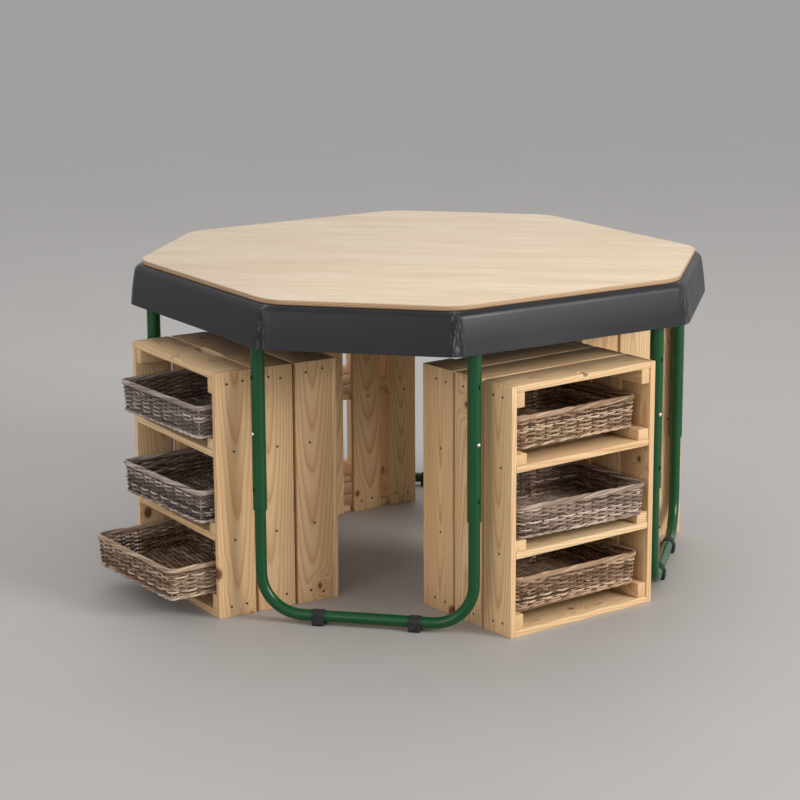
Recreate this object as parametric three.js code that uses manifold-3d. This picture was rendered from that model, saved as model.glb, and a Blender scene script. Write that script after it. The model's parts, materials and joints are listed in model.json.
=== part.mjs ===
// A play table for small children, in millimetres, +Z up, standing on z = 0 over the origin.
// An octagonal plastic tray with a plywood top sits on a bent-tube stand whose legs telescope.
// Under each long side stands a wooden crate. Two of them hold three wicker baskets each, which slide out.
// The long sides face -Y (south), -X (west), +Y (north) and +X (east); the short sides face the corners.
import * as THREE from "three";
import { mergeVertices } from "three/addons/utils/BufferGeometryUtils.js";
import Module from "manifold-3d";

const wasm = await Module();
wasm.setup();

// Clearance between pieces that touch.
const GAP = 0.3;

// Plywood top: an octagon given by the distance from its middle to its long and short sides.
const LONG_SIDE = 479;
const SHORT_SIDE = 510.5;
const TOP_CORNER_RADIUS = 80;
const TOP_HEIGHT = 596;
const TOP_THICKNESS = 9;
const CORNER_STEPS = 3;

// Tray: its rim carries the top, a skirt flares out round it and a basin hangs inside it.
// One moulding, in two solids, so that collision leaves both the basin and the skirt's inside open.
const TRAY_CORNER_RADIUS = 30;
const BASIN_CORNER_RADIUS = 24;
const TRAY_WALL = 3;
const RIM_TOP = TOP_HEIGHT - TOP_THICKNESS - GAP;
const RIM_WIDTH = 46;
const RIM_EDGE = { out: 1, drop: 1.5 };
const SHOULDER_OUT = 10.5;
const SHOULDER_DROP = 6.5;
const SKIRT_OUT = 20.5;
const SKIRT_BOTTOM = 511;
const BASIN_FLOOR = 511;
const BASIN_SLOPE = 16;

// Stand: four upper frames under the long sides, four lower frames under the short sides.
const UPPER_TUBE_RADIUS = 12.7;
const UPPER_BORE_RADIUS = 11.3;
const LOWER_TUBE_RADIUS = 10.4;
const LOWER_BORE_RADIUS = 8.9;
const TUBE_SIDES = 10;
const BEND_STEPS = 4;
const LEG_FROM_MIDDLE = 474;
const LEG_SPREAD = 200;
const UPPER_BEND = 50;
const LOWER_BEND = 75;
const UPPER_TUBE_END = 208;
const LOWER_TUBE_END = 480;
const BAR_HEIGHT = RIM_TOP - TRAY_WALL - GAP - UPPER_TUBE_RADIUS;
const FLOOR_BAR_HEIGHT = 16;

// Height adjustment: three holes in each upper leg, and one sprung button in each lower leg.
const HOLE_PITCH = 102;
const BUTTON_HEIGHT = 348;
const HOLE_RADIUS = 4.4;
const HOLE_SIDES = 8;
const BUTTON_RADIUS = 3.7;
const BUTTON_TIP = 15.6;
const BUTTON_DOME = 2.2;
const FLANGE_RADIUS = 5;
const FLANGE_FACE = 6.2;
const SPRING_THICKNESS = 0.9;
const SPRING_WIDTH = 7;
const SPRING_LENGTH = 34;
const SPRING_TAIL = -2.6;

// Rubber feet, clipped under the floor bars.
const FOOT_FROM_MIDDLE = 88;
const FOOT_LENGTH = 22;
const FOOT_HALF_WIDTH = 14;
const FOOT_CHAMFER = { in: 2, up: 3 };

// Crates, in a frame whose x runs across the opening, y goes in from it and z is up.
const CRATE_WIDTH = 337;
const CRATE_DEPTH = 248;
const CRATE_HEIGHT = 454;
const BOARD = 12;
const SLAT = 10;
const SLAT_GAP = 25;
const BACK_SLATS = 4;
const PLANKS = 3;
const PLANK_GAP = 6;
const JOIN = 1.5;
const LOWER_SHELF = 143;
const UPPER_SHELF = 299;
const ONE_SHELF = 240;
const SHELF_CLEAT = { wide: 25, tall: 20 };
const END_CLEAT = { wide: 19, tall: 28 };
const CLEAT_INSET = 2;
const NOTCH_RADIUS = 6;
const NOTCH_SIDES = 12;
const INNER_HALF = CRATE_WIDTH / 2 - BOARD;
const INNER_DEPTH = CRATE_DEPTH - SLAT - GAP;

// Baskets: half widths at the border and the base, and the front-to-back length.
const BASKET = { half: 146, baseHalf: 139, depth: 215, height: 62, wall: 6, border: 10, corner: 16 };
const BORDER_PROUD = { out: 4, up: 2 };
const BASKET_TAPER = BASKET.half - BASKET.baseHalf;

// Where each crate stands: the middle of its opening and its turn about Z. Each basket is set in from
// the opening (negative when it is pulled out) and stands a little askew, by a turn about its own middle.
// The south and west crates hold baskets on two shelves. The north and east ones have one bare shelf.
const CRATES = {
  south: {
    x: 7.6,
    y: -515.4,
    turn: 4.73,
    baskets: {
      top: { inset: 16, skew: 0 },
      middle: { inset: -12, skew: -3.6 },
      bottom: { inset: 6, skew: -1.5 },
    },
  },
  west: {
    x: -531.1,
    y: 16.7,
    turn: -91.18,
    baskets: {
      top: { inset: -38, skew: 3.6 },
      middle: { inset: -38, skew: 3.6 },
      bottom: { inset: -99, skew: 3 },
    },
  },
  north: { x: 13, y: 555, turn: 181.74 },
  east: { x: 505, y: -16.7, turn: 88.82 },
};

// The long sides' turns about Z from the south side, and the short sides' from the south-west one.
const LONG_SIDES = { south: 0, east: 90, north: 180, west: 270 };
const SHORT_SIDES = { southwest: 0, southeast: 90, northeast: 180, northwest: 270 };

const PLYWOOD = new THREE.MeshStandardMaterial({ color: 0xe6cfa8, roughness: 0.6, metalness: 0 });
const PLASTIC = new THREE.MeshStandardMaterial({ color: 0x3a393d, roughness: 0.4, metalness: 0 });
const ENAMEL = new THREE.MeshStandardMaterial({ color: 0x22553c, roughness: 0.3, metalness: 0.2 });
const RUBBER = new THREE.MeshStandardMaterial({ color: 0x1b1b1c, roughness: 0.85, metalness: 0 });
const STEEL = new THREE.MeshStandardMaterial({ color: 0xc9cacc, roughness: 0.3, metalness: 0.9 });
const PINE = new THREE.MeshStandardMaterial({ color: 0xd7af7d, roughness: 0.65, metalness: 0 });
const WILLOW = new THREE.MeshStandardMaterial({ color: 0x8f7a66, roughness: 0.85, metalness: 0 });

const radians = THREE.MathUtils.degToRad;

function solid(geometry) {
  const bare = geometry.clone();
  bare.deleteAttribute("normal");
  bare.deleteAttribute("uv");
  const merged = mergeVertices(bare, 1e-4);
  const vertProperties = new Float32Array(merged.attributes.position.array);
  const triVerts = new Uint32Array(merged.index.array);
  return new wasm.Manifold(new wasm.Mesh({ numProp: 3, vertProperties, triVerts }));
}

function surface(made) {
  const mesh = made.getMesh();
  const geometry = new THREE.BufferGeometry();
  geometry.setAttribute("position", new THREE.BufferAttribute(mesh.vertProperties, 3));
  geometry.setIndex(new THREE.BufferAttribute(mesh.triVerts, 1));
  geometry.computeVertexNormals();
  return geometry;
}

function join(geometries) {
  return surface(geometries.map(solid).reduce((whole, piece) => whole.add(piece)));
}

function cut(geometry, tools) {
  return surface(tools.map(solid).reduce((rest, tool) => rest.subtract(tool), solid(geometry)));
}

// A box given by its lowest and highest corner.
function block(low, high) {
  const size = high.map((value, axis) => value - low[axis]);
  const geometry = new THREE.BoxGeometry(...size);
  return geometry.translate(...low.map((value, axis) => value + size[axis] / 2));
}

function mirrored(geometry) {
  const made = geometry.clone().applyMatrix4(new THREE.Matrix4().makeScale(-1, 1, 1));
  const index = made.index.array;
  for (let i = 0; i < index.length; i += 3) {
    [index[i + 1], index[i + 2]] = [index[i + 2], index[i + 1]];
  }
  return made;
}

// A closed skin over rings with equal numbers of points. The last ring joins the first, or both are capped.
function loft(rings, closed = false) {
  const count = rings[0].length;
  const points = rings.flat();
  const faces = [];
  const last = (rings.length - 1) * count;
  for (let from = 0; from <= (closed ? last : last - count); from += count) {
    const to = from === last ? 0 : from + count;
    for (let i = 0; i < count; i += 1) {
      const next = (i + 1) % count;
      faces.push(from + i, from + next, to + next, from + i, to + next, to + i);
    }
  }
  for (let i = 1; i < count - 1 && !closed; i += 1) {
    faces.push(0, i + 1, i);
    faces.push(last, last + i, last + i + 1);
  }
  const geometry = new THREE.BufferGeometry().setFromPoints(points);
  geometry.setIndex(faces);
  return geometry;
}

// A point at a distance from the origin, in the direction of an angle in radians.
function polar(distance, angle) {
  return new THREE.Vector2(distance * Math.cos(angle), distance * Math.sin(angle));
}

// Eight flat sides joined by arcs. The offset moves every side out from the plywood's edge.
function octagonPoints(offset, radius) {
  const points = [];
  const halfTurn = radians(22.5);
  for (let corner = 0; corner < 8; corner += 1) {
    const start = radians(45 * corner);
    const [near, far] = corner % 2 === 0 ? [LONG_SIDE, SHORT_SIDE] : [SHORT_SIDE, LONG_SIDE];
    const along = (far + offset - (near + offset) * Math.SQRT1_2) * Math.SQRT2;
    const tip = new THREE.Vector2(near + offset, along).rotateAround(new THREE.Vector2(), start);
    const centre = tip.sub(polar(radius / Math.cos(halfTurn), start + halfTurn));
    for (let step = 0; step <= CORNER_STEPS; step += 1) {
      points.push(polar(radius, start + radians((45 * step) / CORNER_STEPS)).add(centre));
    }
  }
  return points;
}

function trayRing([offset, z]) {
  const radius = Math.max(TRAY_CORNER_RADIUS + offset, BASIN_CORNER_RADIUS);
  return octagonPoints(offset, radius).map((p) => new THREE.Vector3(p.x, p.y, z));
}

function plywoodTop() {
  const outline = new THREE.Shape(octagonPoints(0, TOP_CORNER_RADIUS));
  const geometry = new THREE.ExtrudeGeometry(outline, { depth: TOP_THICKNESS, bevelEnabled: false });
  return geometry.translate(0, 0, TOP_HEIGHT - TOP_THICKNESS);
}

// The rim and the skirt: out under the rim, down inside the skirt, up outside it and in over the rim.
function trayRim() {
  const shoulder = RIM_TOP - SHOULDER_DROP;
  const section = [
    [-RIM_WIDTH, RIM_TOP - TRAY_WALL],
    [RIM_EDGE.out, RIM_TOP - TRAY_WALL],
    [SHOULDER_OUT - TRAY_WALL, shoulder - RIM_EDGE.drop],
    [SKIRT_OUT - TRAY_WALL, SKIRT_BOTTOM],
    [SKIRT_OUT, SKIRT_BOTTOM],
    [SHOULDER_OUT, shoulder],
    [(SHOULDER_OUT + RIM_EDGE.out) / 2, RIM_TOP - RIM_EDGE.drop],
    [RIM_EDGE.out, RIM_TOP],
    [-RIM_WIDTH, RIM_TOP],
  ];
  return loft(section.map(trayRing), true);
}

// The basin, whose wall slopes in from the rim's inner edge down to a flat floor.
function trayBasin() {
  const top = -RIM_WIDTH - GAP;
  const bottom = top - BASIN_SLOPE;
  const section = [
    [bottom, BASIN_FLOOR - TRAY_WALL],
    [top, RIM_TOP],
    [top - TRAY_WALL, RIM_TOP],
    [bottom - TRAY_WALL, BASIN_FLOOR],
  ];
  return loft(section.map(trayRing));
}

// A path through straights and quarter bends that puts a section only where the tube turns.
class BentPath extends THREE.Curve {
  constructor(stations) {
    super();
    this.stations = stations;
  }
  at(u, key) {
    return this.stations[Math.round(u * (this.stations.length - 1))][key].clone();
  }
  getPointAt(u) {
    return this.at(u, "point");
  }
  getTangentAt(u) {
    return this.at(u, "tangent");
  }
}

// The centre line of a U in the plane y = 0, from one leg's open end over to the other's.
function uPath(halfSpread, barHeight, openEnd, bend) {
  const side = Math.sign(openEnd - barHeight);
  const stations = [];
  const add = (x, z, tx, tz) =>
    stations.push({ point: new THREE.Vector3(x, 0, z), tangent: new THREE.Vector3(tx, 0, tz) });
  const quarter = (from) => {
    for (let step = 0; step <= BEND_STEPS; step += 1) {
      const angle = radians(from + (90 * step) / BEND_STEPS);
      const centreX = (from === 0 ? -1 : 1) * (halfSpread - bend);
      const [c, s] = [Math.cos(angle), Math.sin(angle)];
      add(centreX - bend * c, barHeight + side * bend * (1 - s), s, -side * c);
    }
  };
  add(-halfSpread, openEnd, 0, -side);
  quarter(0);
  quarter(90);
  add(halfSpread, openEnd, 0, side);
  return new BentPath(stations);
}

function ringSection(radius, bore) {
  const section = new THREE.Shape(circlePoints(radius));
  section.holes.push(new THREE.Path(circlePoints(bore)));
  return section;
}

function circlePoints(radius) {
  const points = [];
  for (let i = 0; i < TUBE_SIDES; i += 1) {
    const angle = (2 * Math.PI * i) / TUBE_SIDES;
    points.push(new THREE.Vector2(radius * Math.cos(angle), radius * Math.sin(angle)));
  }
  return points;
}

function bentTube(path, radius, bore) {
  const steps = path.stations.length - 1;
  return new THREE.ExtrudeGeometry(ringSection(radius, bore), { steps, extrudePath: path });
}

// A drill for the leg at (x, y). It runs out from inside the leg's bore, towards -Y before its turn about Z.
function drill(x, y, z, turn) {
  const [from, to] = [LOWER_BORE_RADIUS / 2, 2 * UPPER_TUBE_RADIUS];
  const geometry = new THREE.CylinderGeometry(HOLE_RADIUS, HOLE_RADIUS, to - from, HOLE_SIDES);
  return geometry.translate(0, -(from + to) / 2, 0).rotateZ(radians(turn)).translate(x, y, z);
}

// Made for the south side: an upside-down U whose legs hang at x = -LEG_SPREAD and +LEG_SPREAD.
function upperFrame() {
  const path = uPath(LEG_SPREAD, BAR_HEIGHT, UPPER_TUBE_END, UPPER_BEND);
  const tube = bentTube(path, UPPER_TUBE_RADIUS, UPPER_BORE_RADIUS).translate(0, -LEG_FROM_MIDDLE, 0);
  const holes = [];
  for (const x of [-LEG_SPREAD, LEG_SPREAD]) {
    for (const step of [-1, 0, 1]) {
      holes.push(drill(x, -LEG_FROM_MIDDLE, BUTTON_HEIGHT + step * HOLE_PITCH, 0));
    }
  }
  return cut(tube, holes);
}

// Made for the south-west side: its legs stand inside the west frame's and the south frame's.
function lowerFrame() {
  const halfSpread = (LEG_FROM_MIDDLE - LEG_SPREAD) * Math.SQRT1_2;
  const fromMiddle = (LEG_FROM_MIDDLE + LEG_SPREAD) * Math.SQRT1_2;
  const path = uPath(halfSpread, FLOOR_BAR_HEIGHT, LOWER_TUBE_END, LOWER_BEND);
  const tube = bentTube(path, LOWER_TUBE_RADIUS, LOWER_BORE_RADIUS);
  tube.translate(0, -fromMiddle, 0).rotateZ(radians(-45));
  return cut(tube, [
    drill(-LEG_SPREAD, -LEG_FROM_MIDDLE, BUTTON_HEIGHT, 0),
    drill(-LEG_FROM_MIDDLE, -LEG_SPREAD, BUTTON_HEIGHT, -90),
  ]);
}

// The button's domed pin and flange, on a bent spring leaf that lies inside the lower leg.
// Made at the leg's axis, pointing to -Y.
function snapButton() {
  const profile = [
    [0, FLANGE_FACE - SPRING_THICKNESS],
    [FLANGE_RADIUS, FLANGE_FACE - SPRING_THICKNESS],
    [FLANGE_RADIUS, FLANGE_FACE],
    [BUTTON_RADIUS, FLANGE_FACE],
    [BUTTON_RADIUS, BUTTON_TIP - BUTTON_DOME],
    [BUTTON_RADIUS * Math.SQRT1_2, BUTTON_TIP - BUTTON_DOME * (1 - Math.SQRT1_2)],
    [0, BUTTON_TIP],
  ].map(([radius, height]) => new THREE.Vector2(radius, height));
  const pin = new THREE.LatheGeometry(profile, HOLE_SIDES).rotateX(radians(180));
  const front = FLANGE_FACE - SPRING_THICKNESS / 2;
  const bend = (front + SPRING_TAIL) / 2;
  const leaf = new THREE.Shape([
    new THREE.Vector2(front, FLANGE_RADIUS),
    new THREE.Vector2(front - SPRING_THICKNESS, FLANGE_RADIUS),
    new THREE.Vector2(bend, 2 * SPRING_THICKNESS - SPRING_LENGTH),
    new THREE.Vector2(SPRING_TAIL + SPRING_THICKNESS, -SPRING_LENGTH / 4),
    new THREE.Vector2(SPRING_TAIL, -SPRING_LENGTH / 4),
    new THREE.Vector2(bend, -SPRING_LENGTH),
  ]);
  const spring = new THREE.ExtrudeGeometry(leaf, { depth: SPRING_WIDTH, bevelEnabled: false });
  spring.translate(0, 0, -SPRING_WIDTH / 2).rotateX(radians(90)).rotateZ(radians(-90));
  return join([pin, spring]);
}

// A saddle that wraps the underside of the floor bar, made across the bar at the origin.
function rubberFoot() {
  const hug = LOWER_TUBE_RADIUS + GAP;
  const shape = new THREE.Shape();
  shape.moveTo(-FOOT_HALF_WIDTH + FOOT_CHAMFER.in, 0);
  shape.lineTo(FOOT_HALF_WIDTH - FOOT_CHAMFER.in, 0);
  shape.lineTo(FOOT_HALF_WIDTH, FOOT_CHAMFER.up);
  shape.lineTo(FOOT_HALF_WIDTH, FLOOR_BAR_HEIGHT);
  shape.lineTo(hug, FLOOR_BAR_HEIGHT);
  shape.absarc(0, FLOOR_BAR_HEIGHT, hug, 0, Math.PI, true);
  shape.lineTo(-FOOT_HALF_WIDTH, FLOOR_BAR_HEIGHT);
  shape.lineTo(-FOOT_HALF_WIDTH, FOOT_CHAMFER.up);
  const settings = { depth: FOOT_LENGTH, bevelEnabled: false, curveSegments: 8 };
  const geometry = new THREE.ExtrudeGeometry(shape, settings);
  return geometry.translate(0, 0, -FOOT_LENGTH / 2).rotateX(radians(90)).rotateZ(radians(90));
}

// Boards laid side by side over a span, each as long as asked, with gaps between them.
function boards(count, span, gap, makeBoard) {
  const wide = (span - (count - 1) * gap) / count;
  return Array.from({ length: count }, (_, i) => {
    const from = i * (wide + gap);
    return makeBoard(from, from + wide, i === count - 1);
  });
}

// The left wall: three upright planks and the two cleats that the upper baskets run on.
// Three upright planks, and the cleats that the given heights are the undersides of.
function crateSide(cleatHeights) {
  const outer = -CRATE_WIDTH / 2;
  const planks = boards(PLANKS, INNER_DEPTH, PLANK_GAP, (from, to) =>
    block([outer, from, 0], [outer + BOARD - GAP, to, CRATE_HEIGHT]),
  );
  const cleats = cleatHeights.map((z) => {
    const inner = -INNER_HALF + SHELF_CLEAT.wide;
    return block(
      [outer + BOARD - JOIN, CLEAT_INSET, z],
      [inner, INNER_DEPTH - CLEAT_INSET, z + SHELF_CLEAT.tall - GAP],
    );
  });
  return join([...planks, ...cleats]);
}

// Both ends, their cleats and the slatted back, which are nailed to each other.
function crateEndsAndBack() {
  const pieces = [];
  for (const low of [0, CRATE_HEIGHT - BOARD]) {
    pieces.push(
      ...boards(PLANKS, INNER_DEPTH, PLANK_GAP, (from, to, last) => {
        const back = last ? to + JOIN : to;
        return block([-INNER_HALF, from, low], [INNER_HALF, back, low + BOARD]);
      }),
    );
  }
  const cleatLevels = [BOARD - JOIN, CRATE_HEIGHT - BOARD - END_CLEAT.tall];
  for (const low of cleatLevels) {
    for (const side of [-1, 1]) {
      const [a, b] = [side * INNER_HALF, side * (INNER_HALF - END_CLEAT.wide)];
      const high = low + END_CLEAT.tall + JOIN;
      pieces.push(block([Math.min(a, b), CLEAT_INSET, low], [Math.max(a, b), INNER_DEPTH + JOIN, high]));
    }
  }
  const left = -CRATE_WIDTH / 2;
  pieces.push(
    ...boards(BACK_SLATS, CRATE_WIDTH, SLAT_GAP, (from, to) =>
      block([left + from, CRATE_DEPTH - SLAT, 0], [left + to, CRATE_DEPTH, CRATE_HEIGHT]),
    ),
  );
  const notch = new THREE.CylinderGeometry(NOTCH_RADIUS, NOTCH_RADIUS, 4 * BOARD, NOTCH_SIDES);
  notch.rotateX(radians(90)).translate(0, 0, CRATE_HEIGHT);
  return cut(join(pieces), [notch]);
}

function crateShelf(level) {
  const half = INNER_HALF - GAP;
  return block([-half, 0, level], [half, INNER_DEPTH - GAP, level + BOARD]);
}

function roundedRectangle(half, depthHalf, corner, z) {
  const points = [];
  const corners = [[1, 1, 0], [-1, 1, 90], [-1, -1, 180], [1, -1, 270]];
  for (const [sx, sy, start] of corners) {
    for (const step of [0, 1, 2]) {
      const angle = radians(start + 45 * step);
      const x = sx * (half - corner) + corner * Math.cos(angle);
      const y = sy * (depthHalf - corner) + corner * Math.sin(angle);
      points.push(new THREE.Vector3(x, y, z));
    }
  }
  return points;
}

// A tapering tray with a thick border, its middle over the origin and its base at z = 0.
function basket() {
  const { half, depth, height, wall, border, corner } = BASKET;
  const shoulderZ = height - border;
  const section = [
    [BASKET_TAPER, 0],
    [BORDER_PROUD.out, shoulderZ],
    [0, shoulderZ + BORDER_PROUD.up],
    [0, height],
    [border, height],
    [border, shoulderZ],
    [BASKET_TAPER + wall, wall],
  ];
  const rings = section.map(([inset, z]) =>
    roundedRectangle(half - inset, depth / 2 - inset, corner - inset / 2, z),
  );
  return loft(rings);
}

const table = new THREE.Group();

function place(parent, name, geometry, material) {
  const mesh = new THREE.Mesh(geometry, material);
  mesh.name = name;
  parent.add(mesh);
  return mesh;
}

function turnedGroup(parent, degrees) {
  const group = new THREE.Group();
  group.rotation.z = radians(degrees);
  parent.add(group);
  return group;
}

place(table, "plywood_top", plywoodTop(), PLYWOOD);
place(table, "mixing_tray_rim", trayRim(), PLASTIC);
place(table, "mixing_tray_basin", trayBasin(), PLASTIC);

const upperFrameShape = upperFrame();
const buttonShape = snapButton();
for (const [side, turn] of Object.entries(LONG_SIDES)) {
  const group = turnedGroup(table, turn);
  place(group, `upper_frame_${side}`, upperFrameShape, ENAMEL);
  for (const [hand, x] of [["left", -LEG_SPREAD], ["right", LEG_SPREAD]]) {
    const button = place(group, `snap_button_${side}_${hand}`, buttonShape, STEEL);
    button.position.set(x, -LEG_FROM_MIDDLE, BUTTON_HEIGHT);
  }
}

const lowerFrameShape = lowerFrame();
const footShape = rubberFoot();
const footLine = (LEG_FROM_MIDDLE + LEG_SPREAD) * Math.SQRT1_2;
for (const [side, turn] of Object.entries(SHORT_SIDES)) {
  const group = turnedGroup(table, turn);
  place(group, `lower_frame_${side}`, lowerFrameShape, ENAMEL);
  const bar = turnedGroup(group, -45);
  for (const [hand, x] of [["left", -FOOT_FROM_MIDDLE], ["right", FOOT_FROM_MIDDLE]]) {
    const foot = place(bar, `rubber_foot_${side}_${hand}`, footShape, RUBBER);
    foot.position.set(x, -footLine, 0);
  }
}

const endsShape = crateEndsAndBack();
const basketShape = basket();
const basketLevels = {
  top: UPPER_SHELF + BOARD + SHELF_CLEAT.tall,
  middle: LOWER_SHELF + BOARD + SHELF_CLEAT.tall,
  bottom: BOARD + END_CLEAT.tall,
};
// Baskets run on cleats that lie on the shelves. A bare shelf rests on the cleats below it.
const BASKET_CRATE = {
  cleats: [LOWER_SHELF, UPPER_SHELF].map((shelf) => shelf + BOARD + GAP),
  shelves: { lower_shelf: LOWER_SHELF, upper_shelf: UPPER_SHELF },
};
const BARE_CRATE = {
  cleats: [ONE_SHELF - SHELF_CLEAT.tall],
  shelves: { shelf: ONE_SHELF },
};
for (const [side, { x, y, turn, baskets }] of Object.entries(CRATES)) {
  const group = turnedGroup(table, turn);
  group.position.set(x, y, 0);
  const { cleats, shelves } = baskets ? BASKET_CRATE : BARE_CRATE;
  const sideShape = crateSide(cleats);
  place(group, `${side}_crate_left_side`, sideShape, PINE);
  place(group, `${side}_crate_right_side`, mirrored(sideShape), PINE);
  place(group, `${side}_crate_ends_and_back`, endsShape, PINE);
  for (const [name, level] of Object.entries(shelves)) {
    place(group, `${side}_crate_${name}`, crateShelf(level), PINE);
  }
  for (const [level, { inset, skew }] of Object.entries(baskets ?? {})) {
    const tray = place(group, `${side}_basket_${level}`, basketShape, WILLOW);
    tray.position.set(0, inset + BASKET.depth / 2, basketLevels[level] + GAP);
    tray.rotation.z = radians(skew);
  }
}

// The pulled-out basket makes the whole lopsided, and the origin lies under the middle of the whole.
const middle = new THREE.Box3().setFromObject(table, true).getCenter(new THREE.Vector3());
table.position.set(-middle.x, -middle.y, 0);

export default table;
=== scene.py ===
# Looks of the play table with storage crates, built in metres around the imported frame.
# Every CAD node is replaced by a finer piece that stands in the same place and rides on the same body.
import json
import math
import bpy
import numpy as np
from mathutils import Matrix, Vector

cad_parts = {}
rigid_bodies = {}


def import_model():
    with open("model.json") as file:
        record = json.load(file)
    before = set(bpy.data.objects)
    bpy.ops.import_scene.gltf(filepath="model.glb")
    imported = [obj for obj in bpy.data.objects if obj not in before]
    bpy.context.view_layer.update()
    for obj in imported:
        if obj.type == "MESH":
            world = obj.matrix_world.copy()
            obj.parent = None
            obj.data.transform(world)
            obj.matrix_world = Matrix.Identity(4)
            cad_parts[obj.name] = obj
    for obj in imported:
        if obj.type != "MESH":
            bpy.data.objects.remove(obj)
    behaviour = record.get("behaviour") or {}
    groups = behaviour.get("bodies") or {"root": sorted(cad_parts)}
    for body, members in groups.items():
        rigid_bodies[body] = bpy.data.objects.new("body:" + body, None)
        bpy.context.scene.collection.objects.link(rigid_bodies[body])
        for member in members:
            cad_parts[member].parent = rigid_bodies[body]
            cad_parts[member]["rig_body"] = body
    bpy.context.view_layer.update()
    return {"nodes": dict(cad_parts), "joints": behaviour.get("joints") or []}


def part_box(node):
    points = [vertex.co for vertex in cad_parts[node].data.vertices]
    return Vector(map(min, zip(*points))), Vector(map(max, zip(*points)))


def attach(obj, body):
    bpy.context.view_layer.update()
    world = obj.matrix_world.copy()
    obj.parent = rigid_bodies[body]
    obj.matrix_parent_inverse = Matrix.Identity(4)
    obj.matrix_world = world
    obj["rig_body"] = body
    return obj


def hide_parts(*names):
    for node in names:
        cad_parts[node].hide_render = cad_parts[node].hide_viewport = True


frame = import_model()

rng = np.random.default_rng(7)
UP = np.array([0.0, 0.0, 1.0])
GAP = 0.0003
SHARP_ANGLE = math.radians(38)
LONG_SIDES = {"south": 0, "east": 90, "north": 180, "west": 270}
SHORT_SIDES = {"southwest": 0, "southeast": 90, "northeast": 180, "northwest": 270}
HANDS = ("left", "right")
LEVELS = ("top", "middle", "bottom")

# Top and tray
CORNER_STEPS = 14
TOP_CORNER_RADIUS = 0.080
TOP_EDGE_RADIUS = 0.0009
PLY_COUNT = 7
TRAY_CORNER_RADIUS = 0.030
BASIN_CORNER_RADIUS = 0.024
TRAY_WALL = 0.003
RIM_WIDTH = 0.046
SHOULDER_OUT = 0.0105
SHOULDER_DROP = 0.0065
SKIRT_BULGE = 0.0016
BASIN_SLOPE = 0.016

# Stand
TUBE_SIDES = 32
BEND_STEPS = 14
UPPER_BEND = 0.050
LOWER_BEND = 0.075
UPPER_RADIUS = 0.0127
UPPER_BORE = 0.0113
LOWER_RADIUS = 0.0104
LOWER_BORE = 0.0089
HOLE_RADIUS = 0.0044
HOLE_PITCH = 0.102
PIN_RADIUS = 0.0037
PIN_TIP = 0.0156
PIN_DOME = 0.0022
FLANGE_RADIUS = 0.005
FLANGE_FACE = 0.0062
LEAF_THICKNESS = 0.0009
LEAF_WIDTH = 0.007
LEAF_LENGTH = 0.034
LEAF_TAIL = -0.0026
SADDLE_EDGE = 0.0012
BAND_THICKNESS = 0.0012

# Crates
PLANKS = 3
PLANK_GAP = 0.006
SHELF_GAP = 0.0008
SHELVES = ("lower_shelf", "upper_shelf", "shelf")
BACK_SLATS = 4
SLAT = 0.010
SLAT_GAP = 0.025
SHELF_CLEAT = (0.025, 0.020)
END_CLEAT = (0.019, 0.028)
CLEAT_INSET = 0.002
NOTCH_RADIUS = 0.006
HAND_SLOT = (0.085, 0.024)
HAND_SLOTS = ("west",)
BOARD_EDGE = 0.0011
NAIL_RADIUS = 0.0024
NAIL_PROUD = 0.00025
NAIL_FROM_END = (0.020, 0.022)
NAIL_SCATTER = 0.0028

# Baskets
STAKES = 50
ROWS = 13
ROD_RADIUS = 0.00172
STAKE_RADIUS = 0.0015
WEAVE_SWING = 0.0024
WEAVE_DEPTH = ROD_RADIUS + 0.0008
FIRST_ROW = 0.0042
FLOOR_LEVEL = 0.0042
LOOSE_ENDS = 16
WICKER_SHARP_ANGLE = math.radians(70)
BORDER_HEIGHT = 0.010
BORDER_STRANDS = 6
BORDER_TURNS = 6
BASKET_CORNER = 0.016
BASKET_TAPER = 0.007
BORDER_OVERHANG = 0.004
# How grey the willow is: the west side's two upper baskets have weathered most.
WEATHERED = {
    "south_top": 0.15, "south_middle": 0.55, "south_bottom": 0.1,
    "west_top": 0.9, "west_middle": 0.85, "west_bottom": 0.3,
}


# --- reading the frame
def extent(direction, *nodes):
    """Lowest and highest reach of CAD nodes along a direction."""
    points = np.array([v.co for n in nodes for v in frame["nodes"][n].data.vertices], float)
    reach = points @ np.asarray(direction, float)
    return reach.min(), reach.max()


def turned(points, degrees):
    """Points turned about the Z axis."""
    c, s = math.cos(math.radians(degrees)), math.sin(math.radians(degrees))
    return np.asarray(points, float) @ np.array([[c, s, 0], [-s, c, 0], [0, 0, 1]])


DIAGONAL = np.array([1, 1, 0]) / math.sqrt(2)
FLAT = np.array([1, 1, 0])
TOP_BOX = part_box("plywood_top")
MIDDLE = np.array((TOP_BOX[0] + TOP_BOX[1]) / 2) * FLAT
LONG_SIDE = TOP_BOX[1].x - MIDDLE[0]
SHORT_SIDE = extent(DIAGONAL, "plywood_top")[1] - MIDDLE @ DIAGONAL


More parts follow.
